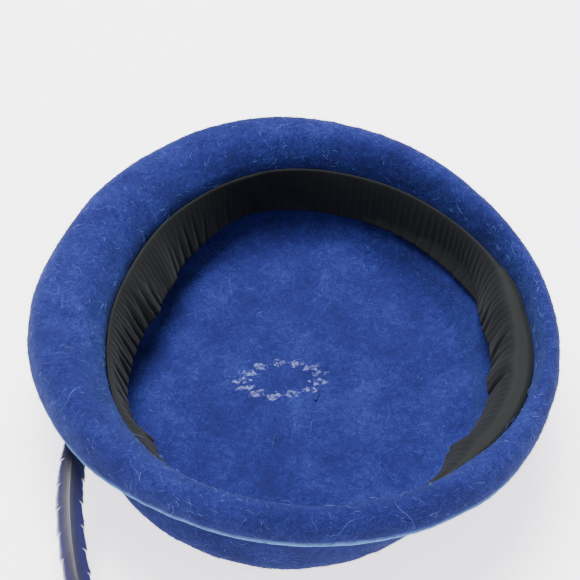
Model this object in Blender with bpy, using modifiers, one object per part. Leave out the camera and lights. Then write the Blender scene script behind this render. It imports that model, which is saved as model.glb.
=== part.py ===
"""A woman's pillbox hat in blue wool felt, set down on its crown.

The flat tip of the crown rests on z = 0 with its middle at the origin, the head opening looks
up, and the hat's long axis runs along Y. The felt is one piece: tip, side wall, a cove at the
head seam, and a brim that rolls outwards to a cut edge. It is widest on the left, where a
feather is tucked between brim and crown. A gathered ribbon lines the head opening.

Sizes are in millimetres; MM turns them into metres. Azimuths are in degrees, from +X to +Y.
"""

import math
from collections import namedtuple

import bmesh
import bpy
import numpy as np

MM = 0.001

# The felt: its thickness, the ovals of the crown's inner face, and the heights of the side wall
FELT = 2.4
TIP_HALF_WIDTH = 70.5
TIP_HALF_LENGTH = 79.0
FOOT_HALF_WIDTH = 81.6
FOOT_HALF_LENGTH = 89.6
FOOT_HEIGHT = 12.4
WALL_MID_HEIGHT = 26.0
WALL_MID_REACH = 0.78
CORNER_REACH = 0.62
CORNER_RISE = 3.0

# The head opening sits off the middle of the crown, so the brim is wider on the left
OPENING_X = 4.0
OPENING_Y = 1.0

# Rings of the mesh: azimuths around, shares of the tip, and steps in each span above the tip
AZIMUTHS = 72
TIP_RINGS = (0.22, 0.42, 0.62, 0.82)
SPAN_STEPS = (2, 2, 2, 3, 2, 2, 2, 2, 2, 1)
WALL_SPANS = 4

# Radii are from the middle of the opening, heights from the tip's outer face. The seam is where
# wall meets brim, the crest is the brim's highest line, roll is the radius of its turned edge,
# and lip is how far the cut edge hangs below the widest line.
Section = namedtuple("Section", "azimuth seam_r seam_z crest_r crest_z roll lip")
SECTIONS = [
    Section(0, 93.0, 42.0, 97.2, 54.0, 4.2, 7.0),
    Section(30, 89.5, 42.0, 94.2, 57.0, 5.2, 6.0),
    Section(60, 90.0, 42.0, 98.0, 58.0, 7.6, 4.4),
    Section(90, 90.0, 42.0, 104.0, 58.0, 8.0, 4.0),
    Section(120, 82.0, 42.0, 100.0, 58.0, 8.0, 4.0),
    Section(150, 75.0, 42.0, 95.0, 58.0, 9.0, 4.0),
    Section(180, 75.0, 43.0, 96.0, 58.0, 9.0, 4.0),
    Section(210, 81.0, 42.0, 95.5, 57.0, 9.0, 4.0),
    Section(240, 86.0, 42.0, 95.5, 57.0, 8.0, 3.0),
    Section(270, 91.0, 42.0, 98.0, 57.0, 8.0, 3.0),
    Section(300, 93.0, 42.0, 101.5, 56.0, 8.0, 3.0),
    Section(330, 96.0, 42.0, 101.0, 54.0, 4.9, 6.1),
]

# Shares of the way from seam to crest where the cove is hollowest and where it turns upwards
COVE_LOW = (0.12, 0.38)
COVE_HIGH = (0.45, 0.80)
LIP_TUCK = 0.12

# Soft dents that lift the tip off the surface: middle, spread along X and Y, and height
Dent = namedtuple("Dent", "x y spread_x spread_y rise")
DENTS = [
    Dent(24.0, 68.0, 22.0, 9.0, 3.2),
    Dent(-30.0, 60.0, 16.0, 10.0, 1.2),
    Dent(48.0, -38.0, 12.0, 20.0, 1.0),
]

# The sweatband: a gathered ribbon sewn at the seam. Lean is how far its free edge stands in
# from the seam, and shoulder is how far it bulges inwards a third of the way down.
RIBBON_WIDTH = 23.0
RIBBON_THICKNESS = 1.0
RIBBON_TOP_DROP = 0.6
RIBBON_CLEARANCE = 1.0
FOOT_CLEARANCE = 0.5
Hang = namedtuple("Hang", "azimuth lean shoulder")
HANGS = [
    Hang(0, 12.0, 3.6),
    Hang(24, 3.6, 1.2),
    Hang(48, 3.6, 0.6),
    Hang(72, 3.0, 0.4),
    Hang(96, 0.5, 0.2),
    Hang(120, 6.6, 0.4),
    Hang(144, 11.2, 0.6),
    Hang(168, 8.2, 0.6),
    Hang(192, 5.2, 0.5),
    Hang(216, 8.6, 1.0),
    Hang(240, 5.0, 1.0),
    Hang(264, 4.0, 1.0),
    Hang(288, 4.5, 1.5),
    Hang(312, 13.6, 3.0),
    Hang(336, 14.2, 4.2),
]
SHOULDER_POWER = 0.62
RIBBON_ROWS = 4
STEPS_PER_ROW = 6
RIBBON_COLUMNS = 186
RIBBON_START = 10.0
RIBBON_OVERLAP = 8.0
OVERLAP_RAMP = 6.0
OVERLAP_STEP = 1.9
GATHERS = 41
SLOW_GATHERS = 17
SLOW_PHASE = 1.3
SLOW_SHARE = 0.4
GATHER_DEPTH = 0.55

# Folds that push the ribbon's free edge further in
Fold = namedtuple("Fold", "azimuth spread push")
FOLDS = [
    Fold(313.0, 3.5, 2.2),
    Fold(341.0, 3.0, 2.0),
    Fold(136.0, 4.0, 1.6),
    Fold(153.0, 4.0, 1.8),
    Fold(211.0, 3.5, 2.0),
]

# The feather: the shaft's route from the hidden quill to the tip, the widths of both vanes, the
# vane's tilt about the shaft in degrees, and the shaft's half height
Barb = namedtuple("Barb", "x y z outer inner tilt shaft")
FEATHER = [
    Barb(-69.9, 28.0, 36.5, 0.9, 0.9, 0.0, 0.9),
    Barb(-73.4, 15.0, 36.2, 1.1, 1.1, 0.0, 1.1),
    Barb(-75.5, 1.0, 35.8, 1.2, 1.2, 0.0, 1.1),
    Barb(-77.9, -13.0, 35.0, 1.7, 1.7, 0.0, 1.1),
    Barb(-81.5, -27.0, 33.6, 3.6, 3.6, 6.0, 1.1),
    Barb(-85.0, -42.0, 31.2, 4.8, 5.6, 10.0, 1.0),
    Barb(-87.4, -61.0, 27.6, 5.2, 5.8, 12.0, 1.0),
    Barb(-86.9, -80.0, 23.5, 5.2, 5.6, 12.0, 0.9),
    Barb(-84.4, -98.0, 19.0, 5.0, 5.4, 10.0, 0.9),
    Barb(-81.0, -116.0, 14.6, 4.4, 4.8, 8.0, 0.8),
    Barb(-77.0, -132.0, 11.2, 3.2, 3.6, 6.0, 0.7),
    Barb(-73.2, -145.0, 9.2, 0.7, 0.8, 4.0, 0.5),
]
FEATHER_STEPS = 6
VANE_HALF_THICKNESS = 0.35
VANE_CAMBER = 0.9
MID_VANE = 0.5
MID_VANE_SAG = 0.3
LOCK_LENGTH = 9.5
LOCK_DEPTH = 0.16

Look = namedtuple("Look", "colour roughness")
FELT_LOOK = Look("1F4FA6", 0.95)
RIBBON_LOOK = Look("23292A", 0.8)
FEATHER_LOOK = Look("15163A", 0.45)


def linear(code):
    """Turns an sRGB hex code into the linear RGBA that a shader takes."""
    channels = [int(code[i : i + 2], 16) / 255 for i in (0, 2, 4)]
    return [c / 12.92 if c <= 0.04045 else ((c + 0.055) / 1.055) ** 2.4 for c in channels] + [1.0]


def blend(p0, p1, p2, p3, t):
    """One span of a Catmull-Rom curve, from p1 at t = 0 to p2 at t = 1."""
    linear_part = (p2 - p0) * t
    square_part = (2 * p0 - 5 * p1 + 4 * p2 - p3) * t**2
    cubic_part = (3 * p1 - p0 - 3 * p2 + p3) * t**3
    return 0.5 * (2 * p1 + linear_part + square_part + cubic_part)


def around(values, azimuth):
    """Reads a smooth closed curve through evenly spaced values at an azimuth in degrees."""
    count = len(values)
    place = (azimuth % 360.0) / (360.0 / count)
    index = int(place)
    p0, p1, p2, p3 = (values[(index + k) % count] for k in (-1, 0, 1, 2))
    return blend(p0, p1, p2, p3, place - index)


def along(points, steps):
    """Points of a smooth open curve through all the rows of points, with steps[i] in span i."""
    last = len(points) - 1
    curve = []
    for i in range(last):
        p0, p3 = points[max(i - 1, 0)], points[min(i + 2, last)]
        for j in range(steps[i]):
            curve.append(blend(p0, points[i], points[i + 1], p3, j / steps[i]))
    return np.array([*curve, points[last]])


def oval(azimuth, half_width, half_length):
    """Point on an oval about the origin, at a polar azimuth."""
    c, s = math.cos(math.radians(azimuth)), math.sin(math.radians(azimuth))
    radius = 1.0 / math.hypot(c / half_width, s / half_length)
    return np.array([radius * c, radius * s])


def section_at(azimuth):
    """The brim's section at any azimuth, between the rows of the table."""
    columns = list(zip(*SECTIONS))[1:]
    return Section(azimuth, *(around(column, azimuth) for column in columns))


def from_opening(azimuth, radius, height):
    angle = math.radians(azimuth)
    return np.array([OPENING_X + radius * math.cos(angle), OPENING_Y + radius * math.sin(angle), height])


def wall_and_brim(azimuth):
    """The felt's inner face at one azimuth, from the edge of the tip to the cut edge."""
    s = section_at(azimuth)
    tip = np.append(oval(azimuth, TIP_HALF_WIDTH, TIP_HALF_LENGTH), FELT)
    foot = np.append(oval(azimuth, FOOT_HALF_WIDTH, FOOT_HALF_LENGTH), FOOT_HEIGHT)
    seam = from_opening(azimuth, s.seam_r, s.seam_z)
    corner = tip + (foot - tip) * CORNER_REACH
    corner[2] = FELT + CORNER_RISE
    middle = foot + (seam - foot) * WALL_MID_REACH
    middle[2] = WALL_MID_HEIGHT
    out = s.crest_r - s.seam_r
    up = s.crest_z - s.seam_z
    edge_r = s.crest_r + s.roll
    edge_z = s.crest_z - s.roll
    turn = s.roll * math.sqrt(0.5)
    brim = [
        (s.seam_r + COVE_LOW[0] * out, s.seam_z + COVE_LOW[1] * up),
        (s.seam_r + COVE_HIGH[0] * out, s.seam_z + COVE_HIGH[1] * up),
        (s.crest_r, s.crest_z),
        (s.crest_r + turn, edge_z + turn),
        (edge_r, edge_z),
        (edge_r - LIP_TUCK * s.lip, edge_z - s.lip),
    ]
    points = [tip, corner, foot, middle, seam, *(from_opening(azimuth, r, z) for r, z in brim)]
    return along(points, SPAN_STEPS)


def dent_height(x, y):
    return sum(
        d.rise * math.exp(-(((x - d.x) / d.spread_x) ** 2) - ((y - d.y) / d.spread_y) ** 2)
        for d in DENTS
    )


def collect(name, collection, vertices, faces, look):
    """Makes one mesh object in metres, with faces turned the same way and its own material."""
    mesh = bpy.data.meshes.new(name)
    mesh.from_pydata([tuple(v * MM) for v in vertices], [], faces)
    obj = bpy.data.objects.new(name, mesh)
    collection.objects.link(obj)
    material = bpy.data.materials.new(name + "_material")
    material.use_nodes = True
    shader = material.node_tree.nodes["Principled BSDF"]
    shader.inputs["Base Color"].default_value = linear(look.colour)
    shader.inputs["Roughness"].default_value = look.roughness
    shader.inputs["Metallic"].default_value = 0.0
    mesh.materials.append(material)
    mesh.shade_smooth()
    return obj


def solidify(obj, thickness, offset):
    shell = obj.modifiers.new("thickness", "SOLIDIFY")
    shell.thickness = thickness * MM
    shell.offset = offset
    shell.use_even_offset = True


def ring_faces(rings, columns, closed):
    """Quads between neighbouring rings of a grid whose points are stored ring by ring."""
    faces = []
    for ring in range(rings - 1):
        for column in range(columns if closed else columns - 1):
            across = (column + 1) % columns
            low, high = ring * columns, (ring + 1) * columns
            faces.append((low + column, high + column, high + across, low + across))
    return faces


def make_felt_body(collection):
    """Tip, wall and brim: one open surface, thickened outwards."""
    azimuths = [360.0 * i / AZIMUTHS for i in range(AZIMUTHS)]
    profiles = np.array([wall_and_brim(a) for a in azimuths])
    tip_edge = profiles[:, 0]
    rings = [tip_edge * (share, share, 1.0) for share in TIP_RINGS]
    rings += [profiles[:, i] for i in range(profiles.shape[1])]
    points = np.concatenate(rings)
    for point in points:
        if point[2] < FOOT_HEIGHT:
            point[2] += dent_height(point[0], point[1])
    middle = tuple(range(AZIMUTHS))
    faces = [middle, *ring_faces(len(rings), AZIMUTHS, closed=True)]
    obj = collect("felt_body", collection, points, faces, FELT_LOOK)
    solidify(obj, FELT, -1.0)
    return obj


def wall_insets(azimuth):
    """Heights of the felt's inner wall, and how far it stands in from the seam at each."""
    profile = wall_and_brim(azimuth)
    seam_step = sum(SPAN_STEPS[:WALL_SPANS])
    wall = profile[SPAN_STEPS[0] : seam_step + 1]
    radii = np.hypot(wall[:, 0] - OPENING_X, wall[:, 1] - OPENING_Y)
    return wall[:, 2], radii[-1] - radii


def gather_wave(azimuth):
    """Uneven small waves of the gathered ribbon, between -1 and 1."""
    angle = math.radians(azimuth)
    quick = math.sin(GATHERS * angle)
    slow = math.sin(SLOW_GATHERS * angle + SLOW_PHASE)
    return (1.0 - SLOW_SHARE) * quick + SLOW_SHARE * slow


def free_edge_lean(azimuth):
    lean = around([h.lean for h in HANGS], azimuth)
    for fold in FOLDS:
        away = (azimuth - fold.azimuth + 180.0) % 360.0 - 180.0
        lean += fold.push * math.exp(-((away / fold.spread) ** 2))
    return lean


def ribbon_column(travel):
    """The middle of the ribbon's cloth from seam to free edge, after a travel in degrees.

    The cloth doesn't stretch, so each small step down takes what its step inwards leaves.
    """
    azimuth = (RIBBON_START + travel) % 360.0
    seam = section_at(azimuth)
    wall = wall_insets(azimuth)
    lean = free_edge_lean(azimuth)
    shoulder = around([h.shoulder for h in HANGS], azimuth)
    steps = STEPS_PER_ROW * (RIBBON_ROWS - 1)
    length = RIBBON_WIDTH / steps
    path = [(0.0, seam.seam_z - RIBBON_TOP_DROP)]
    for step in range(1, steps + 1):
        inset, height = path[-1]
        share = step / steps
        wanted = lean * share + shoulder * math.sin(math.pi * share**SHOULDER_POWER)
        new_inset = max(wanted, np.interp(height - length, *wall) + FOOT_CLEARANCE * share)
        drop = math.sqrt(max(length**2 - (new_inset - inset) ** 2, 0.0))
        path.append((new_inset, height - drop))
    path = np.array(path)
    along_path = np.gradient(path, axis=0)
    inwards = np.stack([-along_path[:, 1], along_path[:, 0]], axis=1)
    inwards /= np.linalg.norm(inwards, axis=1, keepdims=True)
    shares = np.linspace(0.0, 1.0, steps + 1)
    lap = min(max((travel - 360.0 + OVERLAP_RAMP) / OVERLAP_RAMP, 0.0), 1.0)
    ruffles = GATHER_DEPTH * shares * (1.0 + gather_wave(azimuth))
    path += inwards * (lap * OVERLAP_STEP + ruffles)[:, None]
    return [
        from_opening(azimuth, seam.seam_r - RIBBON_CLEARANCE - inset, height)
        for inset, height in path[::STEPS_PER_ROW]
    ]


def make_sweatband(collection):
    """The gathered ribbon: one strip around the opening, its ends lapped on the right."""
    travels = np.linspace(0.0, 360.0 + RIBBON_OVERLAP, RIBBON_COLUMNS)
    columns = [ribbon_column(t) for t in travels]
    points = [column[row] for row in range(RIBBON_ROWS) for column in columns]
    faces = ring_faces(RIBBON_ROWS, RIBBON_COLUMNS, closed=False)
    obj = collect("sweatband", collection, points, faces, RIBBON_LOOK)
    solidify(obj, RIBBON_THICKNESS, 0.0)
    return obj


def lock_cut(distance):
    """Share of the vane's width left at a distance along it: each lock widens, then breaks."""
    phase = (distance / LOCK_LENGTH) % 1.0
    return 1.0 - LOCK_DEPTH * (1.0 - phase)


def feather_ring(row, forward, distance):
    """One closed cross-section: two cambered vanes, thick at the shaft between them."""
    centre = np.array([row.x, row.y, row.z])
    side = np.cross(forward, (0.0, 0.0, 1.0))
    side /= np.linalg.norm(side)
    upright = np.cross(side, forward)
    tilt = math.radians(row.tilt)
    side, upright = (
        side * math.cos(tilt) + upright * math.sin(tilt),
        upright * math.cos(tilt) - side * math.sin(tilt),
    )
    cut = lock_cut(distance)
    sag = -VANE_CAMBER * min(1.0, (row.outer + row.inner) / (2 * VANE_CAMBER) - 1.0)
    mid_sag = sag * MID_VANE_SAG
    outline = [
        (row.outer * cut, sag),
        (row.outer * MID_VANE, mid_sag + VANE_HALF_THICKNESS),
        (0.0, row.shaft),
        (-row.inner * MID_VANE, mid_sag + VANE_HALF_THICKNESS),
        (-row.inner * cut, sag),
        (-row.inner * MID_VANE, mid_sag - VANE_HALF_THICKNESS),
        (0.0, -row.shaft),
        (row.outer * MID_VANE, mid_sag - VANE_HALF_THICKNESS),
    ]
    return [centre + side * across + upright * rise for across, rise in outline]


def make_feather(collection):
    """Shaft and vanes fused into one closed body, lofted along the shaft's route."""
    table = np.array(FEATHER)
    rows = along(table, [FEATHER_STEPS] * (len(table) - 1))
    route = rows[:, :3]
    forwards = np.gradient(route, axis=0)
    lengths = np.linalg.norm(np.diff(route, axis=0), axis=1)
    distances = np.concatenate([[0.0], np.cumsum(lengths)])
    points = []
    for row, forward, distance in zip(rows, forwards, distances):
        points += feather_ring(Barb(*row), forward / np.linalg.norm(forward), distance)
    sides = len(points) // len(rows)
    faces = ring_faces(len(rows), sides, closed=True)
    faces.append(tuple(range(sides)))
    faces.append(tuple(reversed(range(len(points) - sides, len(points)))))
    return collect("feather", collection, points, faces, FEATHER_LOOK)


def face_outwards(obj):
    """Turns the faces of a closed mesh outwards."""
    work = bmesh.new()
    work.from_mesh(obj.data)
    bmesh.ops.recalc_face_normals(work, faces=work.faces)
    work.to_mesh(obj.data)
    work.free()


def main():
    for obj in list(bpy.data.objects):
        bpy.data.objects.remove(obj, do_unlink=True)
    collection = bpy.data.collections.new("pillbox_hat")
    bpy.context.scene.collection.children.link(collection)
    make_felt_body(collection)
    make_sweatband(collection)
    face_outwards(make_feather(collection))


if __name__ == "__main__":
    main()
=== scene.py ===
"""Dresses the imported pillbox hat: felt with its nap, gathered ribbon, feather, and a small studio.

Laid out as an add-on and run as a script. Lengths are in metres unless a name or comment says
millimetres, and azimuths are in degrees about the middle of the head opening, from +X to +Y.
"""

import math
from collections import namedtuple

import bmesh
import bpy
import numpy as np
from bpy.props import FloatProperty, FloatVectorProperty, PointerProperty
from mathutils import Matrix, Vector
from mathutils.bvhtree import BVHTree


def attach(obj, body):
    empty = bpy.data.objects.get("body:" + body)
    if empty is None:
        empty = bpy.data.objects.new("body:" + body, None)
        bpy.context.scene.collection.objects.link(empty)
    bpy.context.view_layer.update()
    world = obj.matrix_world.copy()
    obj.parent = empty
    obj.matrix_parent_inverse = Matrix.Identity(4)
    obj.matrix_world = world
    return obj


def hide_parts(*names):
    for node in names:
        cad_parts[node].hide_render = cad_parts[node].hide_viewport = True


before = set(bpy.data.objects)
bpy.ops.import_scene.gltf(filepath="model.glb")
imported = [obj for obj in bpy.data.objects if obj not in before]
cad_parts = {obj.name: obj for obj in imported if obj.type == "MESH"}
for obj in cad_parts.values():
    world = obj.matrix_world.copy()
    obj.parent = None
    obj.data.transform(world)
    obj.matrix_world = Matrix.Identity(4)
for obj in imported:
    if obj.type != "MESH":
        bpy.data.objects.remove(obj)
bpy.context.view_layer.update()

bl_info = {
    "name": "Pillbox Hat",
    "version": (1, 0, 0),
    "blender": (4, 5, 0),
    "location": "3D View > Sidebar > Hat",
    "description": "Makes the felt, ribbon, feather and stage of a pillbox hat lying on its crown",
    "category": "Object",
}

MM = 0.001
BODY = "root"

# The middle of the head opening, where azimuths are measured from
OPENING = Vector((0.004, 0.001, 0.0))

# The head seam, where the side wall meets the brim, in millimetres
Seam = namedtuple("Seam", "azimuth radius height")
SEAMS = [
    Seam(0, 93.0, 42.0),
    Seam(30, 89.5, 42.0),
    Seam(60, 90.0, 42.0),
    Seam(90, 90.0, 42.0),
    Seam(120, 82.0, 42.0),
    Seam(150, 75.0, 42.0),
    Seam(180, 75.0, 43.0),
    Seam(210, 81.0, 42.0),
    Seam(240, 86.0, 42.0),
    Seam(270, 91.0, 42.0),
    Seam(300, 93.0, 42.0),
    Seam(330, 96.0, 42.0),
]

# How far the ribbon's free edge stands in from the seam, and how far it bulges on the way down
Hang = namedtuple("Hang", "azimuth lean shoulder")
HANGS = [
    Hang(0, 12.0, 3.6),
    Hang(24, 3.6, 1.2),
    Hang(48, 3.6, 0.6),
    Hang(72, 3.0, 0.4),
    Hang(96, 0.5, 0.2),
    Hang(120, 6.6, 0.4),
    Hang(144, 11.2, 0.6),
    Hang(168, 8.2, 0.6),
    Hang(192, 5.2, 0.5),
    Hang(216, 8.6, 1.0),
    Hang(240, 5.0, 1.0),
    Hang(264, 4.0, 1.0),
    Hang(288, 4.5, 1.5),
    Hang(312, 13.6, 3.0),
    Hang(336, 14.2, 4.2),
]
SHOULDER_POWER = 0.62

# Folds that push the ribbon's free edge further in
Fold = namedtuple("Fold", "azimuth spread push")
FOLDS = [
    Fold(313.0, 3.5, 2.2),
    Fold(341.0, 3.0, 2.0),
    Fold(136.0, 4.0, 1.6),
    Fold(153.0, 4.0, 1.8),
    Fold(211.0, 3.5, 2.0),
]

# Stretches of the ribbon with their own gathers: furrows this many degrees apart, their depth at
# the free edge in millimetres, and how far up from that edge they run, as a share of the width
Gathers = namedtuple("Gathers", "start end pitch depth reach")
GATHERS = [
    Gathers(20.0, 88.0, 5.6, 0.35, 0.6),
    Gathers(88.0, 112.0, 5.0, 0.5, 0.7),
    Gathers(112.0, 133.0, 3.6, 1.5, 0.66),
    Gathers(133.0, 147.0, 6.0, 0.4, 0.4),
    Gathers(147.0, 200.0, 3.9, 1.6, 0.78),
    Gathers(200.0, 262.0, 4.6, 1.3, 0.7),
    Gathers(262.0, 318.0, 5.2, 0.8, 0.6),
    Gathers(318.0, 372.0, 4.4, 0.5, 0.6),
]

# Single deep creases on the right: azimuth at the free edge, slant to the seam in degrees,
# depth in millimetres, half width in degrees, and how far up they run
Crease = namedtuple("Crease", "azimuth slant depth spread reach")
CREASES = [
    Crease(348.5, 4.5, 2.2, 0.9, 1.0),
    Crease(335.6, 3.0, 2.4, 1.0, 0.75),
    Crease(3.5, 1.5, 1.0, 0.9, 0.6),
    Crease(318.0, 2.0, 1.8, 1.0, 0.6),
]

# The shaft of the feather: its route, the widths of both vanes in millimetres, and their tilt
Shaft = namedtuple("Shaft", "x y z outer inner tilt")
FEATHER = [
    Shaft(-69.9, 28.0, 36.5, 0.4, 0.4, 0.0),
    Shaft(-73.4, 15.0, 36.2, 0.5, 0.5, 0.0),
    Shaft(-75.5, 1.0, 35.8, 0.7, 0.7, 0.0),
    Shaft(-77.9, -13.0, 35.0, 1.7, 1.7, 0.0),
    Shaft(-81.5, -27.0, 33.6, 3.6, 3.6, 6.0),
    Shaft(-85.0, -42.0, 31.2, 4.8, 5.6, 10.0),
    Shaft(-87.4, -61.0, 27.6, 5.2, 5.8, 12.0),
    Shaft(-86.9, -80.0, 23.5, 5.2, 5.6, 12.0),
    Shaft(-84.4, -98.0, 19.0, 5.0, 5.4, 10.0),
    Shaft(-81.0, -116.0, 14.6, 4.4, 4.8, 8.0),
    Shaft(-77.0, -132.0, 11.2, 3.2, 3.6, 6.0),
    Shaft(-73.2, -145.0, 9.2, 0.7, 0.8, 4.0),
]


def linear(code):
    """Turns an sRGB hex code into the linear RGBA that a shader takes."""
    channels = [int(code[i : i + 2], 16) / 255 for i in (0, 2, 4)]
    return [c / 12.92 if c <= 0.04045 else ((c + 0.055) / 1.055) ** 2.4 for c in channels] + [1.0]


def colour_property(name, code, description):
    return FloatVectorProperty(
        name=name, description=description, subtype="COLOR", size=4, min=0.0, max=1.0, default=linear(code)
    )


class FeltSettings(bpy.types.PropertyGroup):
    """Blocked wool felt."""

    # The blues follow the same tufts and curls that raise the bump: the deep blue is partly painted shade
    # between the raised fibres, the light blue partly a painted highlight on them
    deep: colour_property("Deep blue", "0C0F38", "Wool between the raised fibres")
    middle: colour_property("Middle blue", "151958", "Most of the wool")
    light: colour_property("Light blue", "2B377C", "Raised fibres")
    # The cut edge's pale blue is partly its lighter cut fibres and partly a painted highlight where the edge
    # catches the light
    edge: colour_property("Cut edge", "5580B4", "Raw edge of the felt, where the fibres are cut")
    stamp: colour_property("Worn stamp", "767FB4", "Rubbed silver wreath on the crown's floor")
    lump_height: FloatProperty(
        name="Lump height", description="Height of the wide unevenness", default=0.0011, unit="LENGTH"
    )
    nap_height: FloatProperty(
        name="Nap height", description="Height of the matted tufts", default=0.00045, unit="LENGTH"
    )
    fibre_length: FloatProperty(
        name="Fibre length", description="Length of the nap's fibres", default=0.0032, unit="LENGTH"
    )
    fibre_thickness: FloatProperty(
        name="Fibre thickness", description="Thickness of a fibre", default=0.00008, unit="LENGTH"
    )
    fibres_per_area: FloatProperty(
        name="Fibres", description="Fibres per square metre in one layer", default=142000.0
    )


class RibbonSettings(bpy.types.PropertyGroup):
    """Gathered grosgrain ribbon."""

    width: FloatProperty(name="Width", description="Width of the ribbon", default=0.023, unit="LENGTH")
    thickness: FloatProperty(
        name="Thickness", description="Thickness of the cloth", default=0.0006, unit="LENGTH"
    )
    rib_pitch: FloatProperty(
        name="Rib pitch", description="Distance between cross ribs", default=0.00065, unit="LENGTH"
    )
    # Painted light: the cloth colour is partly a painted highlight on the rib crowns, and the colour below it
    # painted shade between the ribs
    cloth: colour_property("Cloth", "1B1F1F", "Crowns of the ribs")
    painted_groove_shade: colour_property("Groove", "080A0A", "Between the ribs")


class FeatherSettings(bpy.types.PropertyGroup):
    """Dyed feather."""

    dark: colour_property("Dark", "070817", "Middle of the vane")
    # Painted sheen: this purple is a sheen put into the vane's colour along its outer edge
    painted_violet_sheen: colour_property("Violet", "35297A", "Sheen along the outer edge")
    blue: colour_property("Blue", "121A55", "Inner edge")
    barb_spacing: FloatProperty(
        name="Barb spacing", description="Distance between barbs", default=0.00036, unit="LENGTH"
    )


class StageSettings(bpy.types.PropertyGroup):
    """Floor, light and camera."""

    floor: colour_property("Floor", "F4F2F6", "Matte paper sweep")
    key_power: FloatProperty(
        name="Overhead light", description="Power of the large soft light", default=38.0, unit="POWER"
    )
    sky: FloatProperty(name="Surroundings", description="Strength of the white surroundings", default=1.0)
    glow: FloatProperty(
        name="Floor glow", description="Light of the paper itself, as on a light table", default=2.2
    )
    lens: FloatProperty(name="Lens", description="Focal length in millimetres", default=83.6)


def add(tree, kind, sockets=(), **settings):
    """Adds a node, sets its properties, and fills or links its input sockets."""
    node = tree.nodes.new(kind)
    for key, value in settings.items():
        setattr(node, key, value)
    for socket, value in dict(sockets).items():
        if isinstance(value, bpy.types.NodeSocket):
            tree.links.new(value, node.inputs[socket])
        else:
            node.inputs[socket].default_value = value
    return node


def new_material(name):
    """A material with its Principled shader, and its node tree."""
    material = bpy.data.materials.new(name)
    material.use_nodes = True
    tree = material.node_tree
    return material, tree, tree.nodes["Principled BSDF"]


def blend(p0, p1, p2, p3, t):
    """One span of a Catmull-Rom curve, from p1 at t = 0 to p2 at t = 1."""
    linear_part = (p2 - p0) * t
    square_part = (2 * p0 - 5 * p1 + 4 * p2 - p3) * t**2
    cubic_part = (3 * p1 - p0 - 3 * p2 + p3) * t**3
    return 0.5 * (2 * p1 + linear_part + square_part + cubic_part)


def around(values, azimuth):
    """Reads a smooth closed curve through evenly spaced values at an azimuth in degrees."""
    count = len(values)
    place = (azimuth % 360.0) / (360.0 / count)
    index = int(place)
    p0, p1, p2, p3 = (values[(index + k) % count] for k in (-1, 0, 1, 2))
    return blend(p0, p1, p2, p3, place - index)


def along(points, steps):
    """Points of a smooth open curve through all the rows of points."""
    last = len(points) - 1
    curve = []
    for i in range(last):
        p0, p3 = points[max(i - 1, 0)], points[min(i + 2, last)]
        for j in range(steps):
            curve.append(blend(p0, points[i], points[i + 1], p3, j / steps))
    return np.array([*curve, points[last]])


def turn_between(azimuth, other):
    """Signed angle from one azimuth to another, between -180 and 180 degrees."""
    return (azimuth - other + 180.0) % 360.0 - 180.0


def outward(azimuth):
    angle = math.radians(azimuth)
    return Vector((math.cos(angle), math.sin(angle), 0.0))


def deselect_all():
    if bpy.context.mode != "OBJECT":
        bpy.ops.object.mode_set(mode="OBJECT")
    bpy.ops.object.select_all(action="DESELECT")


def take(obj):
    """Makes one object the only selected one, and the active one."""
    deselect_all()
    obj.select_set(True)
    bpy.context.view_layer.objects.active = obj


def apply_modifiers(obj):
    take(obj)
    for modifier in list(obj.modifiers):
        bpy.ops.object.modifier_apply(modifier=modifier.name)


def finish_piece(obj, material):
    """Puts a piece's place into its mesh, gives it its material, and lets it ride."""
    take(obj)
    bpy.ops.object.transform_apply(location=True, rotation=True, scale=True)
    obj.data.materials.clear()
    obj.data.materials.append(material)
    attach(obj, BODY)


def coordinates(mesh):
    points = np.empty(len(mesh.vertices) * 3)
    mesh.vertices.foreach_get("co", points)
    return points.reshape(-1, 3)


def set_coordinates(mesh, points):
    mesh.vertices.foreach_set("co", np.asarray(points, dtype=float).ravel())
    mesh.update()


def store(mesh, name, values):
    """Keeps one number per vertex as a named attribute."""
    attribute = mesh.attributes.get(name) or mesh.attributes.new(name, "FLOAT", "POINT")
    attribute.data.foreach_set("value", np.asarray(values, dtype=float))


def tree_of(obj):
    mesh = obj.data
    mesh.calc_loop_triangles()
    corners = [tuple(t.vertices) for t in mesh.loop_triangles]
    return BVHTree.FromPolygons([v.co.copy() for v in mesh.vertices], corners)


def smoothstep(low, high, x):
    t = np.clip((np.asarray(x, dtype=float) - low) / (high - low), 0.0, 1.0)
    return t * t * (3.0 - 2.0 * t)


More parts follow.
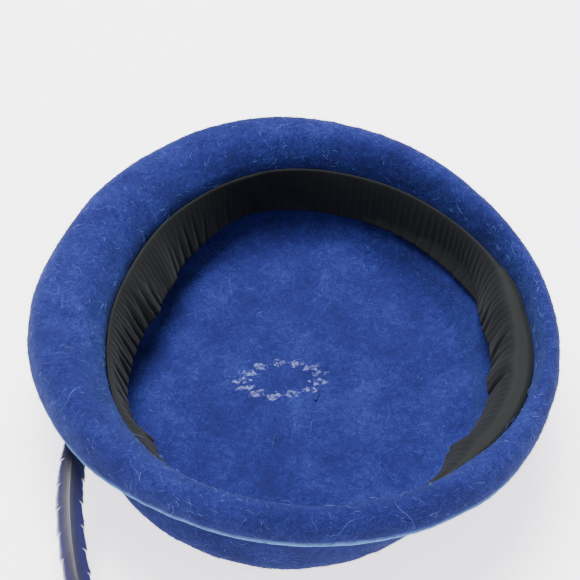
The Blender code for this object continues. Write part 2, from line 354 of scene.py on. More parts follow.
def worn_wreath(tree, place):
    """Mask of a plain oval wreath of leaves, 40 by 21 mm, rubbed off in patches."""
    centred = add(
        tree,
        "ShaderNodeMapping",
        {"Vector": place, "Location": (0.0015 / 0.020, -0.0040 / 0.0105, 0.0), "Scale": (50.0, 95.0, 0.0)},
    )
    reach = add(tree, "ShaderNodeVectorMath", {0: centred.outputs[0]}, operation="LENGTH")
    parts = add(tree, "ShaderNodeSeparateXYZ", {"Vector": centred.outputs[0]})
    angle = add(
        tree, "ShaderNodeMath", {0: parts.outputs["Y"], 1: parts.outputs["X"]}, operation="ARCTAN2"
    )
    leaves = add(tree, "ShaderNodeMath", {0: angle.outputs[0], 1: 13.0}, operation="MULTIPLY")
    leaf = add(tree, "ShaderNodeMath", {0: leaves.outputs[0]}, operation="SINE")
    half_width = add(tree, "ShaderNodeMath", {0: leaf.outputs[0], 1: 0.11, 2: 0.12}, operation="MULTIPLY_ADD")
    off = add(tree, "ShaderNodeMath", {0: reach.outputs["Value"], 1: 0.82}, operation="SUBTRACT")
    off = add(tree, "ShaderNodeMath", {0: off.outputs[0]}, operation="ABSOLUTE")
    ring = add(
        tree, "ShaderNodeMath", {0: half_width.outputs[0], 1: off.outputs[0]}, operation="GREATER_THAN"
    )
    rubbed = add(
        tree, "ShaderNodeTexNoise", {"Vector": place, "Scale": 520.0, "Detail": 4.0, "Roughness": 0.75}
    )
    left = add(
        tree,
        "ShaderNodeMapRange",
        {"Value": rubbed.outputs["Fac"], "From Min": 0.47, "From Max": 0.62, "To Min": 0.0, "To Max": 0.7},
    )
    height = add(tree, "ShaderNodeSeparateXYZ", {"Vector": place})
    low = add(tree, "ShaderNodeMath", {0: height.outputs["Z"], 1: 0.0052}, operation="LESS_THAN")
    high = add(tree, "ShaderNodeMath", {0: height.outputs["Z"], 1: 0.0012}, operation="GREATER_THAN")
    mask = add(tree, "ShaderNodeMath", {0: ring.outputs[0], 1: left.outputs[0]}, operation="MULTIPLY")
    mask = add(tree, "ShaderNodeMath", {0: mask.outputs[0], 1: low.outputs[0]}, operation="MULTIPLY")
    return add(tree, "ShaderNodeMath", {0: mask.outputs[0], 1: high.outputs[0]}, operation="MULTIPLY").outputs[0]


def felt_material(settings):
    """Blocked wool felt: matted tufts in several blues, so the colour is mottled at three sizes, partly
    random dye patches and partly painted light: lighter on the raised tufts and curls, painted shade
    between them; a pale velvety edge light from its nap; and a rubbed silver stamp on the crown's floor."""
    material, tree, shader = new_material("blocked_wool_felt")
    place = add(tree, "ShaderNodeTexCoord").outputs["Object"]
    # Wide dye patches about 20 mm across, tufts of 3 mm, and single curls of wool under 1 mm
    patches = add(
        tree, "ShaderNodeTexNoise", {"Vector": place, "Scale": 45.0, "Detail": 2.0, "Roughness": 0.6}
    )
    tufts = add(
        tree,
        "ShaderNodeTexNoise",
        {"Vector": place, "Scale": 260.0, "Detail": 4.0, "Roughness": 0.62, "Distortion": 1.6},
    )
    curls = add(
        tree,
        "ShaderNodeTexNoise",
        {"Vector": place, "Scale": 900.0, "Detail": 3.0, "Roughness": 0.7, "Distortion": 2.4},
    )
    mixed = add(
        tree,
        "ShaderNodeMath",
        {0: tufts.outputs["Fac"], 1: 0.55, 2: curls.outputs["Fac"]},
        operation="MULTIPLY_ADD",
    )
    mixed = add(
        tree,
        "ShaderNodeMath",
        {0: patches.outputs["Fac"], 1: 0.5, 2: mixed.outputs[0]},
        operation="MULTIPLY_ADD",
    )
    # Positions on the ramp run from 0 to 1, so the mix of the three noises is brought there first
    scaled = add(
        tree, "ShaderNodeMapRange", {"Value": mixed.outputs[0], "From Min": 0.72, "From Max": 1.34}
    )
    # Dye and painted light together: the ramp runs from painted shade between the tufts to a painted highlight
    # on them, since its noises also raise the bump
    wool = add(tree, "ShaderNodeValToRGB", {"Fac": scaled.outputs[0]})
    blues = wool.color_ramp.elements
    blues.new(0.5)
    for stop, colour in zip(blues, (settings.deep, settings.middle, settings.light)):
        stop.color = colour
    # The raw cut edge is paler: partly its lighter cut fibres, partly a painted highlight where the edge catches
    # the light
    cut = add(tree, "ShaderNodeAttribute", attribute_name="cut_edge")
    edge_mix = add(
        tree,
        "ShaderNodeMix",
        {"Factor": cut.outputs["Fac"], "A": wool.outputs["Color"], "B": settings.edge},
        data_type="RGBA",
    )
    worn = add(
        tree,
        "ShaderNodeMix",
        {"Factor": worn_wreath(tree, place), "A": edge_mix.outputs["Result"], "B": settings.stamp},
        data_type="RGBA",
    )
    tree.links.new(worn.outputs["Result"], shader.inputs["Base Color"])
    shader.inputs["Roughness"].default_value = 0.95
    shader.inputs["IOR"].default_value = 1.5
    shader.inputs["Specular IOR Level"].default_value = 0.2
    shader.inputs["Sheen Weight"].default_value = 0.1
    shader.inputs["Sheen Roughness"].default_value = 0.45
    shader.inputs["Sheen Tint"].default_value = linear("7FB0F0")
    height = add(
        tree,
        "ShaderNodeMath",
        {0: tufts.outputs["Fac"], 1: 0.8, 2: curls.outputs["Fac"]},
        operation="MULTIPLY_ADD",
    )
    relief = add(
        tree, "ShaderNodeBump", {"Height": height.outputs[0], "Strength": 0.7, "Distance": 0.0006}
    )
    tree.links.new(relief.outputs["Normal"], shader.inputs["Normal"])
    return material


def rebuild_tip(obj):
    """Turns the loose fill in the middle of the crown's two faces into even rings of quads."""
    work = bmesh.new()
    work.from_mesh(obj.data)
    reach = 0.0185
    for level in (0.0, 0.0024):
        near = [
            f
            for f in work.faces
            if all(v.co.xy.length < reach and abs(v.co.z - level) < 0.001 for v in f.verts)
        ]
        dissolved = bmesh.ops.dissolve_faces(work, faces=near)["region"]
        for _ in range(2):
            bmesh.ops.inset_region(work, faces=dissolved, thickness=0.0045, depth=0.0)
        bmesh.ops.poke(work, faces=dissolved)
    work.to_mesh(obj.data)
    work.free()


class HAT_OT_felt(bpy.types.Operator):
    """Makes the felt from the CAD felt, smoother and with its lumps and tufts"""

    bl_idname = "hat.felt"
    bl_label = "Felt"

    def execute(self, context):
        settings = context.scene.hat_felt
        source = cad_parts["felt_body"]
        obj = source.copy()
        obj.data = source.data.copy()
        obj.name = "felt_shell"
        context.scene.collection.objects.link(obj)
        obj.parent = None
        obj.matrix_world = source.matrix_world.copy()
        take(obj)
        bpy.ops.object.mode_set(mode="EDIT")
        bpy.ops.mesh.select_all(action="SELECT")
        bpy.ops.mesh.remove_doubles(threshold=0.00002)
        bpy.ops.object.mode_set(mode="OBJECT")
        rebuild_tip(obj)
        bpy.ops.object.mode_set(mode="EDIT")
        bpy.ops.mesh.select_all(action="SELECT")
        bpy.ops.mesh.tris_convert_to_quads(face_threshold=math.radians(50), shape_threshold=math.radians(60))
        bpy.ops.object.mode_set(mode="OBJECT")
        self.mark_cut_edge(obj)
        subdivide = obj.modifiers.new("subdivide", "SUBSURF")
        subdivide.levels = subdivide.render_levels = 2
        for name, size, height in (
            ("lumps", 0.024, settings.lump_height),
            ("tufts", 0.0034, settings.nap_height),
        ):
            texture = bpy.data.textures.new(name, "CLOUDS")
            texture.noise_scale = size
            texture.noise_depth = 1
            relief = obj.modifiers.new(name, "DISPLACE")
            relief.texture = texture
            relief.texture_coords = "LOCAL"
            relief.strength = height
            relief.mid_level = 0.5
        apply_modifiers(obj)
        points = coordinates(obj.data)
        points[:, 2] = np.maximum(points[:, 2], 0.0)
        set_coordinates(obj.data, points)
        self.mark_nap(obj)
        bpy.ops.object.shade_smooth()
        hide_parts("felt_body")
        finish_piece(obj, felt_material(settings))
        return {"FINISHED"}

    def mark_cut_edge(self, obj):
        """Creases the two rings of the cut edge and marks the vertices between them."""
        work = bmesh.new()
        work.from_mesh(obj.data)
        crease = work.edges.layers.float.new("crease_edge")
        on_edge = set()
        for edge in work.edges:
            on_lip = all(0.040 < v.co.z < 0.050 and (v.co - OPENING).xy.length > 0.096 for v in edge.verts)
            if on_lip and edge.calc_face_angle(0.0) > math.radians(52):
                edge[crease] = 0.55
                on_edge.update(v.index for v in edge.verts)
        work.to_mesh(obj.data)
        work.free()
        marks = np.zeros(len(obj.data.vertices))
        marks[sorted(on_edge)] = 1.0
        store(obj.data, "cut_edge", marks)

    def mark_nap(self, obj):
        """How thick the nap stands: full on brim and outside, thin on the crown's floor."""
        mesh = obj.data
        points = coordinates(mesh)
        normals = np.empty(len(mesh.vertices) * 3)
        mesh.vertices.foreach_get("normal", normals)
        normals = normals.reshape(-1, 3)
        from_middle = points[:, :2] - np.array(OPENING.xy)
        reach = np.linalg.norm(from_middle, axis=1)
        inward = (from_middle * normals[:, :2]).sum(1) < 0
        inside = (points[:, 2] < 0.042) & ((normals[:, 2] > 0.6) | inward) & (reach < 0.097)
        nap = np.where(inside, 0.08, 1.0)
        nap[points[:, 2] < 0.0012] = 0.0
        store(mesh, "nap", nap)


def fibre(name, length, thickness, arch, curl, cuts=3):
    """One curved fibre along X that tapers to both ends, in an object of its own."""
    deselect_all()
    bpy.ops.mesh.primitive_cylinder_add(
        vertices=3, radius=thickness / 2, depth=length, end_fill_type="NOTHING", rotation=(0, math.pi / 2, 0)
    )
    obj = bpy.context.object
    obj.name = name
    bpy.ops.object.transform_apply(location=False, rotation=True, scale=False)
    work = bmesh.new()
    work.from_mesh(obj.data)
    lengthwise = [e for e in work.edges if abs(e.verts[0].co.x - e.verts[1].co.x) > length / 2]
    bmesh.ops.subdivide_edges(work, edges=lengthwise, cuts=cuts, use_grid_fill=True)
    for v in work.verts:
        share = v.co.x / length + 0.5
        if min(share, 1.0 - share) < 0.01:
            v.co.y = v.co.z = 0.0
        v.co.z += arch * length * math.sin(math.pi * share)
        v.co.y += curl * length * math.sin(2.0 * math.pi * share)
    bmesh.ops.remove_doubles(work, verts=work.verts, dist=thickness / 20)
    work.to_mesh(obj.data)
    work.free()
    return obj


def scatter_tree(name, patterns, attribute, density, seed, tilt, lift):
    """Geometry nodes that strew copies of the patterns over a surface and keep only the copies."""
    tree = bpy.data.node_groups.new(name, "GeometryNodeTree")
    tree.interface.new_socket("Geometry", in_out="INPUT", socket_type="NodeSocketGeometry")
    tree.interface.new_socket("Geometry", in_out="OUTPUT", socket_type="NodeSocketGeometry")
    surface = add(tree, "NodeGroupInput").outputs[0]
    nap = add(tree, "GeometryNodeInputNamedAttribute", {"Name": attribute}, data_type="FLOAT")
    thick = add(
        tree, "ShaderNodeMath", {0: nap.outputs["Attribute"], 1: density}, operation="MULTIPLY"
    )
    points = add(
        tree,
        "GeometryNodeDistributePointsOnFaces",
        {"Mesh": surface, "Density": thick.outputs[0], "Seed": seed},
        distribute_method="RANDOM",
    )
    turn = add(
        tree,
        "FunctionNodeRandomValue",
        {"Min": (-tilt, -tilt, 0.0), "Max": (tilt, tilt, 2 * math.pi), "Seed": seed + 1},
        data_type="FLOAT_VECTOR",
    )
    turned = add(tree, "FunctionNodeEulerToRotation", {"Euler": turn.outputs["Value"]})
    facing = add(
        tree,
        "FunctionNodeRotateRotation",
        {"Rotation": points.outputs["Rotation"], "Rotate By": turned.outputs[0]},
        rotation_space="LOCAL",
    )
    size = add(tree, "FunctionNodeRandomValue", {2: 0.6, 3: 1.25, "Seed": seed + 2}, data_type="FLOAT")
    chosen = add(tree, "GeometryNodeJoinGeometry")
    for pattern in patterns:
        info = add(tree, "GeometryNodeObjectInfo", {"Object": pattern, "As Instance": True})
        tree.links.new(info.outputs["Geometry"], chosen.inputs[0])
    copies = add(
        tree,
        "GeometryNodeInstanceOnPoints",
        {
            "Points": points.outputs["Points"],
            "Instance": chosen.outputs[0],
            "Pick Instance": True,
            "Rotation": facing.outputs[0],
            "Scale": size.outputs[1],
        },
    )
    lifted = add(
        tree,
        "GeometryNodeTranslateInstances",
        {"Instances": copies.outputs[0], "Translation": (0.0, 0.0, lift), "Local Space": True},
    )
    real = add(tree, "GeometryNodeRealizeInstances", {"Geometry": lifted.outputs[0]})
    out = add(tree, "NodeGroupOutput")
    tree.links.new(real.outputs[0], out.inputs[0])
    return tree


def strew(name, over, patterns, density, seed, material, tilt=0.16, lift=0.0):
    """A piece made of many copies of the patterns, strewn over another piece."""
    obj = bpy.data.objects.new(name, over.data.copy())
    bpy.context.scene.collection.objects.link(obj)
    modifier = obj.modifiers.new("strew", "NODES")
    modifier.node_group = scatter_tree(name, patterns, "nap", density, seed, tilt, lift)
    apply_modifiers(obj)
    for attribute in [a.name for a in obj.data.attributes if a.name in ("nap", "cut_edge")]:
        obj.data.attributes.remove(obj.data.attributes[attribute])
    finish_piece(obj, material)
    print(name, "triangles", sum(len(p.vertices) - 2 for p in obj.data.polygons))
    return obj


def fibre_material(name, code, sheen):
    """Loose wool fibres: pale and matte, so that they show as fine light lines on the felt."""
    material, tree, shader = new_material(name)
    place = add(tree, "ShaderNodeTexCoord").outputs["Object"]
    dye = add(tree, "ShaderNodeTexNoise", {"Vector": place, "Scale": 150.0, "Detail": 2.0})
    shade = add(
        tree,
        "ShaderNodeMapRange",
        {"Value": dye.outputs["Fac"], "From Min": 0.3, "From Max": 0.7, "To Min": 0.55, "To Max": 1.35},
    )
    colour = add(
        tree,
        "ShaderNodeHueSaturation",
        {"Color": linear(code), "Value": shade.outputs[0]},
    )
    tree.links.new(colour.outputs[0], shader.inputs["Base Color"])
    shader.inputs["Roughness"].default_value = 0.8
    shader.inputs["Specular IOR Level"].default_value = 0.3
    shader.inputs["Sheen Weight"].default_value = sheen
    return material


class HAT_OT_nap(bpy.types.Operator):
    """Strews the nap's fibres over the felt"""

    bl_idname = "hat.nap"
    bl_label = "Nap"

    def execute(self, context):
        settings = context.scene.hat_felt
        shell = bpy.data.objects["felt_shell"]
        long_, thin = settings.fibre_length, settings.fibre_thickness
        patterns = [
            fibre("fibre_a", long_, thin, 0.06, 0.05),
            fibre("fibre_b", long_ * 0.8, thin, 0.10, -0.09),
            fibre("fibre_c", long_ * 0.6, thin, 0.14, 0.02),
        ]
        per_area = settings.fibres_per_area
        strew("nap_dark", shell, patterns, per_area, 3, fibre_material("wool_fibre_deep", "171F5C", 0.05))
        strew("nap_blue", shell, patterns, per_area, 13, fibre_material("wool_fibre_blue", "223174", 0.05))
        pale = fibre_material("wool_fibre_pale", "566CB0", 0.05)
        strew("nap_pale", shell, patterns, per_area * 0.35, 23, pale)
        strays = [
            fibre("stray_a", 0.008, 0.00007, 0.12, 0.10, cuts=9),
            fibre("stray_b", 0.011, 0.00007, 0.16, -0.07, cuts=9),
            fibre("stray_c", 0.006, 0.00007, 0.22, 0.16, cuts=9),
        ]
        strew("stray_hairs", shell, strays, 4500.0, 33, pale, tilt=0.22)
        patterns += strays
        for pattern in patterns:
            bpy.data.objects.remove(pattern, do_unlink=True)
        return {"FINISHED"}


class RibbonForm:
    """Where each point of the gathered ribbon lies, from its place along and across the strip."""

    STEPS = 24
    START = 2.0
    CLEARANCE = 0.9
    LAP_STEP = 1.4
    LAP_RAMP = 7.0
    END_SLANT = 8.0

    def __init__(self, settings, felt):
        self.width = settings.width / MM
        self.felt = tree_of(felt)
        random = np.random.default_rng(11)
        self.furrows = []
        for zone in GATHERS:
            azimuth = zone.start + zone.pitch * 0.5
            while azimuth < zone.end:
                depth = zone.depth * random.uniform(0.8, 1.6)
                reach = min(zone.reach * random.uniform(0.75, 1.15), 1.0)
                slant = random.uniform(-1.4, 1.4)
                spread = random.uniform(0.55, 0.95)
                self.furrows.append(Crease(azimuth, slant, depth, spread, reach))
                azimuth += zone.pitch * random.uniform(0.7, 1.3)
        self.furrows += CREASES

    def wall(self, azimuth, seam_radius):
        """Heights up the felt's inner wall, and how far it stands in from the seam at each."""
        direction = outward(azimuth)
        heights = np.linspace(6.0, 42.0, 13)
        insets = []
        for height in heights:
            start = OPENING + Vector((0.0, 0.0, height * MM))
            hit = self.felt.ray_cast(start, direction)[0]
            insets.append(seam_radius - (hit - start).length / MM)
        return heights, np.array(insets)

    def lean(self, azimuth):
        lean = around([h.lean for h in HANGS], azimuth)
        for fold in FOLDS:
            lean += fold.push * math.exp(-((turn_between(azimuth, fold.azimuth) / fold.spread) ** 2))
        return lean

    def relief(self, azimuth, share):
        """How far furrows and small gathers push the cloth back from the eye, in millimetres."""
        depth = 0.0
        for f in self.furrows:
            away = turn_between(azimuth, f.azimuth + f.slant * (1.0 - share))
            if abs(away) > 4.0 * f.spread:
                continue
            rise = max(0.0, (share - (1.0 - f.reach)) / max(f.reach, 0.01))
            shape = math.exp(-((away / f.spread) ** 2)) - 0.35 * math.exp(-((away / (2.2 * f.spread)) ** 2))
            depth += f.depth * shape * min(1.0, rise**0.8 * 1.15)
        ripple = 0.10 * math.sin(math.radians(azimuth) * 171.0 + 2.0 * math.sin(math.radians(azimuth) * 13.0))
        return depth + ripple * math.sin(math.pi * min(1.0, share * 1.2)) ** 0.5

    def column(self, travel):
        """Points of the strip's middle surface from seam to free edge, after a travel in degrees."""
        azimuth = (self.START + travel) % 360.0
        radius = around([s.radius for s in SEAMS], azimuth)
        top = around([s.height for s in SEAMS], azimuth) - 0.4
        wall = self.wall(azimuth, radius)
        lean = self.lean(azimuth)
        shoulder = around([h.shoulder for h in HANGS], azimuth)
        length = self.width / self.STEPS
        path = [(0.0, top)]
        for step in range(1, self.STEPS + 1):
            inset, height = path[-1]
            share = step / self.STEPS
            wanted = lean * share + shoulder * math.sin(math.pi * share**SHOULDER_POWER)
            new_inset = max(wanted, np.interp(height - length, *wall) + 0.5 * share)
            drop = math.sqrt(max(length**2 - (new_inset - inset) ** 2, 0.0))
            path.append((new_inset, height - drop))
        path = np.array(path)
        tangent = np.gradient(path, axis=0)
        inwards = np.stack([-tangent[:, 1], tangent[:, 0]], axis=1)
        inwards /= np.linalg.norm(inwards, axis=1, keepdims=True)
        shares = np.linspace(0.0, 1.0, self.STEPS + 1)
        lap = smoothstep(360.0 - self.LAP_RAMP, 360.0, travel)
        relief = np.array([self.relief(azimuth, s) for s in shares])
        free = np.interp(path[:, 1], *wall)
        room = np.maximum(path[:, 0] - free - 0.1, 0.0) + 0.5
        lift = lap * self.LAP_STEP + 0.35 * shares - np.minimum(relief, room)
        path += inwards * lift[:, None]
        points = []
        for inset, height in path:
            point = OPENING + outward(azimuth) * (radius - self.CLEARANCE - inset) * MM
            points.append((point.x, point.y, height * MM))
        return points


def ribbon_material(settings):
    """Grosgrain, a ribbon woven with thick weft: matte, with a fine rib across its width that catches light
    on one side, and painted light in its colour: a painted highlight on the rib crowns and painted shade
    in the grooves between them, which also fills random patches of the strip."""
    material, tree, shader = new_material("woven_grosgrain")
    strip = add(tree, "ShaderNodeUVMap", uv_map="strip").outputs[0]
    parts = add(tree, "ShaderNodeSeparateXYZ", {"Vector": strip})
    waver = add(tree, "ShaderNodeTexNoise", {"Vector": strip, "Scale": 240.0, "Detail": 2.0})
    place = add(
        tree,
        "ShaderNodeMath",
        {0: waver.outputs["Fac"], 1: 0.0004, 2: parts.outputs["X"]},
        operation="MULTIPLY_ADD",
    )
    angle = add(
        tree, "ShaderNodeMath", {0: place.outputs[0], 1: 2 * math.pi / settings.rib_pitch}, operation="MULTIPLY"
    )
    rib = add(tree, "ShaderNodeMath", {0: angle.outputs[0]}, operation="SINE")
    rib01 = add(
        tree, "ShaderNodeMapRange", {"Value": rib.outputs[0], "From Min": -1.0, "From Max": 1.0}
    )
    rib_light_patches = add(tree, "ShaderNodeTexNoise", {"Vector": strip, "Scale": 90.0, "Detail": 5.0, "Roughness": 0.7})
    share = add(
        tree,
        "ShaderNodeMath",
        {0: rib_light_patches.outputs["Fac"], 1: 0.9, 2: 0.05},
        operation="MULTIPLY_ADD",
    )
    # Painted light: rib crowns take the cloth colour as a painted highlight and the grooves the darker colour as
    # painted shade, which also fills random patches
    lit = add(tree, "ShaderNodeMath", {0: rib01.outputs[0], 1: share.outputs[0]}, operation="MULTIPLY")
    colour = add(
        tree,
        "ShaderNodeMix",
        {"Factor": lit.outputs[0], "A": settings.painted_groove_shade, "B": settings.cloth},
        data_type="RGBA",
    )
    tree.links.new(colour.outputs["Result"], shader.inputs["Base Color"])
    shader.inputs["Roughness"].default_value = 0.72
    shader.inputs["Specular IOR Level"].default_value = 0.2
    shader.inputs["Sheen Weight"].default_value = 0.04
    relief = add(
        tree, "ShaderNodeBump", {"Height": rib01.outputs[0], "Strength": 0.6, "Distance": 0.00012}
    )
    tree.links.new(relief.outputs["Normal"], shader.inputs["Normal"])
    return material


class HAT_OT_sweatband(bpy.types.Operator):
    """Makes the gathered ribbon from a flat strip laid around the head opening"""

    bl_idname = "hat.sweatband"
    bl_label = "Sweatband"

    COLUMNS = 1100
    TRAVEL = 370.0

    def execute(self, context):
        settings = context.scene.hat_ribbon
        form = RibbonForm(settings, bpy.data.objects["felt_shell"])
        radii = np.array([around([s.radius for s in SEAMS], a) for a in np.arange(0.0, 360.0, 1.0)])
        length = math.radians(self.TRAVEL) * radii.mean() * MM
        deselect_all()
        bpy.ops.mesh.primitive_grid_add(x_subdivisions=self.COLUMNS, y_subdivisions=form.STEPS, size=1.0)
        obj = context.object
        obj.name = "gathered_ribbon"
        mesh = obj.data
        flat = coordinates(mesh)
        uv = mesh.uv_layers[0]
        uv.name = "strip"
        corner = np.empty(len(mesh.loops), dtype=int)
        mesh.loops.foreach_get("vertex_index", corner)
        placed = np.stack([(flat[corner, 0] + 0.5) * length, (flat[corner, 1] + 0.5) * settings.width], axis=1)
        uv.data.foreach_set("uv", placed.ravel())
        column_of = np.rint((flat[:, 0] + 0.5) * self.COLUMNS).astype(int)
        row_of = np.rint((0.5 - flat[:, 1]) * form.STEPS).astype(int)
        columns = []
        for i in range(self.COLUMNS + 1):
            columns.append(form.column(self.TRAVEL * i / self.COLUMNS))
        columns = np.array(columns)
        set_coordinates(mesh, columns[column_of, row_of])
        shell = obj.modifiers.new("thickness", "SOLIDIFY")
        shell.thickness = settings.thickness
        shell.offset = 0.0
        shell.use_even_offset = False
        apply_modifiers(obj)
        bpy.ops.object.shade_smooth()
        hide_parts("sweatband")
        finish_piece(obj, ribbon_material(settings))
        return {"FINISHED"}


def feather_material(settings):
    """Dyed goose quill vane: near-black blue, with a purple sheen painted into its colour along the outer edge,
    in streaks that run along the barbs, besides the shader's own sheen.
    """
    material, tree, shader = new_material("dyed_quill_vane")
    vane = add(tree, "ShaderNodeUVMap", uv_map="vane").outputs[0]
    parts = add(tree, "ShaderNodeSeparateXYZ", {"Vector": vane})
    streaks = add(tree, "ShaderNodeMapping", {"Vector": vane, "Scale": (40.0, 900.0, 1.0)})
    fine = add(tree, "ShaderNodeTexNoise", {"Vector": streaks.outputs[0], "Scale": 1.0, "Detail": 3.0})
    ramp = add(tree, "ShaderNodeValToRGB", {"Fac": parts.outputs["X"]})
    elements = ramp.color_ramp.elements
    # The outer edge takes the purple of a painted sheen
    elements[0].color = settings.painted_violet_sheen
    elements[1].color = settings.blue
    dark = elements.new(0.4)
    dark.color = settings.dark
    strength = add(
        tree,
        "ShaderNodeMapRange",
        {"Value": fine.outputs["Fac"], "From Min": 0.35, "From Max": 0.7, "To Min": 0.35, "To Max": 1.5},
    )
    colour = add(
        tree, "ShaderNodeHueSaturation", {"Color": ramp.outputs["Color"], "Value": strength.outputs[0]}
    )
    tree.links.new(colour.outputs[0], shader.inputs["Base Color"])
    shader.inputs["Roughness"].default_value = 0.38
    shader.inputs["Specular IOR Level"].default_value = 0.6
    shader.inputs["Sheen Weight"].default_value = 0.3
    shader.inputs["Sheen Tint"].default_value = linear("7A6AD8")
    return material


class HAT_OT_feather(bpy.types.Operator):
    """Makes the feather's shaft and its two vanes of single barbs"""

    bl_idname = "hat.feather"
    bl_label = "Feather"

    STEPS = 24
    BARB_POINTS = 6
    LOCK_LENGTH = 9.5

    def execute(self, context):
        settings = context.scene.hat_feather
        rows = along(np.array(FEATHER), self.STEPS)
        route = rows[:, :3]
        lengths = np.linalg.norm(np.diff(route, axis=0), axis=1)
        distances = np.concatenate([[0.0], np.cumsum(lengths)])
        curve = bpy.data.curves.new("feather_barbs", "CURVE")
        curve.dimensions = "3D"
        curve.bevel_depth = 0.00021
        curve.bevel_resolution = 0
        curve.use_fill_caps = True
        self.add_spline(curve, route * MM, np.interp(distances, [0, distances[-1]], [5.2, 1.6]))
        random = np.random.default_rng(5)
        spacing = settings.barb_spacing / MM
        position = 40.0
        while position < distances[-1] - 1.0:
            row = [np.interp(position, distances, rows[:, k]) for k in range(6)]
            ahead = np.array([np.interp(position + 1.0, distances, rows[:, k]) for k in range(3)])
            forward = ahead - np.array(row[:3])
            forward /= np.linalg.norm(forward)
            for side, width in ((1.0, row[3]), (-1.0, row[4])):
                self.add_barb(curve, Shaft(*row), forward, side, width, position, random)
            position += spacing
        obj = bpy.data.objects.new("feather_vanes", curve)
        context.scene.collection.objects.link(obj)
        take(obj)
        bpy.ops.object.convert(target="MESH")
        obj = context.object
        self.lay_out(obj, rows, distances)
        bpy.ops.object.shade_smooth()
        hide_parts("feather")
        finish_piece(obj, feather_material(settings))
        print("feather triangles", sum(len(p.vertices) - 2 for p in obj.data.polygons))
        return {"FINISHED"}

    def add_spline(self, curve, points, radii):
        spline = curve.splines.new("POLY")
        spline.points.add(len(points) - 1)
        for i, point in enumerate(points):
            spline.points[i].co = (*point, 1.0)
            spline.points[i].radius = radii[i]

    def add_barb(self, curve, row, forward, side, width, position, random):
        """One barb: it leaves the shaft forwards, bends out, and leans towards its lock's middle."""
        across = np.cross(forward, (0.0, 0.0, 1.0))
        across /= np.linalg.norm(across)
        upright = np.cross(across, forward)
        tilt = math.radians(row.tilt)
        across, upright = (
            across * math.cos(tilt) + upright * math.sin(tilt),
            upright * math.cos(tilt) - across * math.sin(tilt),
        )
        phase = ((position + 3.0 * side) / self.LOCK_LENGTH) % 1.0
        width *= random.uniform(0.93, 1.02) * (1.0 - 0.12 * (1.0 - phase))
        gather = (0.5 - phase) * 0.35
        base = np.array([row.x, row.y, row.z])
        points = []
        for t in np.linspace(0.0, 1.0, self.BARB_POINTS):
            out = side * width * t
            on = width * 1.15 * t**0.8 + gather * t**2
            up = -0.9 * min(1.0, width / 4.0) * t**1.6 + 0.35 * (1.0 - t) + random.uniform(-0.04, 0.04)
            points.append((base + across * out + forward * on + upright * up) * MM)
        self.add_spline(curve, points, np.linspace(1.35, 0.5, self.BARB_POINTS))

    def lay_out(self, obj, rows, distances):
        """A map across and along the vane, in shares and metres, for the colours."""
        mesh = obj.data
        points = coordinates(mesh) / MM
        nearest = np.array([np.argmin(((rows[:, :3] - p) ** 2).sum(1)) for p in points])
        forward = np.gradient(rows[:, :3], axis=0)
        forward /= np.linalg.norm(forward, axis=1, keepdims=True)
        across = np.cross(forward, (0.0, 0.0, 1.0))
        away = ((points - rows[nearest, :3]) * across[nearest]).sum(1)
        u = np.clip(0.5 - away / 12.0, 0.0, 1.0)
        v = distances[nearest] * MM
        corner = np.empty(len(mesh.loops), dtype=int)
        mesh.loops.foreach_get("vertex_index", corner)
        layer = mesh.uv_layers.get("vane") or mesh.uv_layers.new(name="vane")
        layer.data.foreach_set("uv", np.stack([u[corner], v[corner]], axis=1).ravel())


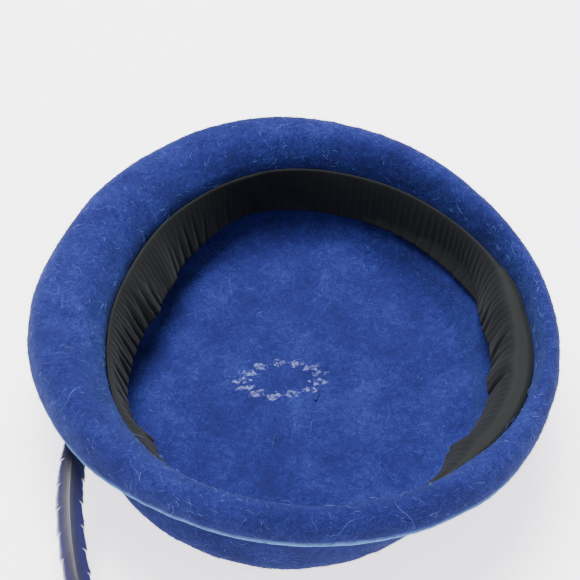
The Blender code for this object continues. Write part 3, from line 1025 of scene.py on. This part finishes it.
class HAT_OT_stage(bpy.types.Operator):
    """Lays the pale floor, and sets the lights and the camera"""

    bl_idname = "hat.stage"
    bl_label = "Stage"

    def execute(self, context):
        settings = context.scene.hat_stage
        deselect_all()
        bpy.ops.mesh.primitive_plane_add(size=6.0, location=(0.0, 0.0, -0.0001))
        floor = context.object
        floor.name = "paper_sweep"
        material, tree, shader = new_material("matte_paper")
        place = add(tree, "ShaderNodeTexCoord").outputs["Object"]
        grain = add(tree, "ShaderNodeTexNoise", {"Vector": place, "Scale": 300.0, "Detail": 2.0})
        shade = add(
            tree,
            "ShaderNodeMapRange",
            {"Value": grain.outputs["Fac"], "To Min": 0.985, "To Max": 1.015},
        )
        colour = add(
            tree, "ShaderNodeHueSaturation", {"Color": settings.floor, "Value": shade.outputs[0]}
        )
        tree.links.new(colour.outputs[0], shader.inputs["Base Color"])
        shader.inputs["Roughness"].default_value = 0.9
        shader.inputs["Specular IOR Level"].default_value = 0.2
        shader.inputs["Emission Color"].default_value = linear("F6F3FA")
        shader.inputs["Emission Strength"].default_value = settings.glow
        floor.data.materials.append(material)
        world = bpy.data.worlds.new("white_room")
        context.scene.world = world
        world.use_nodes = True
        background = world.node_tree.nodes["Background"]
        background.inputs["Color"].default_value = linear("F2F1FA")
        background.inputs["Strength"].default_value = settings.sky
        self.light("overhead_softbox", (-0.05, 0.30, 1.1), 0.7, settings.key_power)
        camera = bpy.data.cameras.new("camera")
        camera.lens = settings.lens
        camera.sensor_width = 36.0
        obj = bpy.data.objects.new("camera", camera)
        context.scene.collection.objects.link(obj)
        obj.location = (-0.0381, -0.3455, 0.4487)
        aim = Vector((0.0042, 0.0201, 0.040))
        obj.rotation_euler = (aim - obj.location).to_track_quat("-Z", "Y").to_euler()
        context.scene.camera = obj
        return {"FINISHED"}

    def light(self, name, place, size, power):
        lamp = bpy.data.lights.new(name, "AREA")
        lamp.shape = "DISK"
        lamp.size = size
        lamp.energy = power
        obj = bpy.data.objects.new(name, lamp)
        bpy.context.scene.collection.objects.link(obj)
        obj.location = place
        obj.rotation_euler = (-Vector(place)).to_track_quat("-Z", "Y").to_euler()


class HAT_PT_panel(bpy.types.Panel):
    """Lists the hat's settings and the buttons that make its pieces"""

    bl_idname = "HAT_PT_panel"
    bl_label = "Pillbox Hat"
    bl_space_type = "VIEW_3D"
    bl_region_type = "UI"
    bl_category = "Hat"

    def draw(self, context):
        layout = self.layout
        for group, names in SECTIONS:
            settings = getattr(context.scene, group)
            box = layout.box()
            for key in settings.__annotations__:
                box.prop(settings, key)
            for name in names:
                box.operator(name)


SECTIONS = [
    ("hat_felt", ("hat.felt", "hat.nap")),
    ("hat_ribbon", ("hat.sweatband",)),
    ("hat_feather", ("hat.feather",)),
    ("hat_stage", ("hat.stage",)),
]
GROUPS = [
    ("hat_felt", FeltSettings),
    ("hat_ribbon", RibbonSettings),
    ("hat_feather", FeatherSettings),
    ("hat_stage", StageSettings),
]
OPERATORS = [HAT_OT_felt, HAT_OT_nap, HAT_OT_sweatband, HAT_OT_feather, HAT_OT_stage]


def register():
    for name, group in GROUPS:
        bpy.utils.register_class(group)
        setattr(bpy.types.Scene, name, PointerProperty(type=group))
    for operator in OPERATORS:
        bpy.utils.register_class(operator)
    bpy.utils.register_class(HAT_PT_panel)


def unregister():
    bpy.utils.unregister_class(HAT_PT_panel)
    for operator in reversed(OPERATORS):
        bpy.utils.unregister_class(operator)
    for name, group in reversed(GROUPS):
        delattr(bpy.types.Scene, name)
        bpy.utils.unregister_class(group)


def main():
    register()
    bpy.ops.hat.felt()
    bpy.ops.hat.nap()
    bpy.ops.hat.sweatband()
    bpy.ops.hat.feather()
    bpy.ops.hat.stage()


if __name__ == "__main__":
    main()
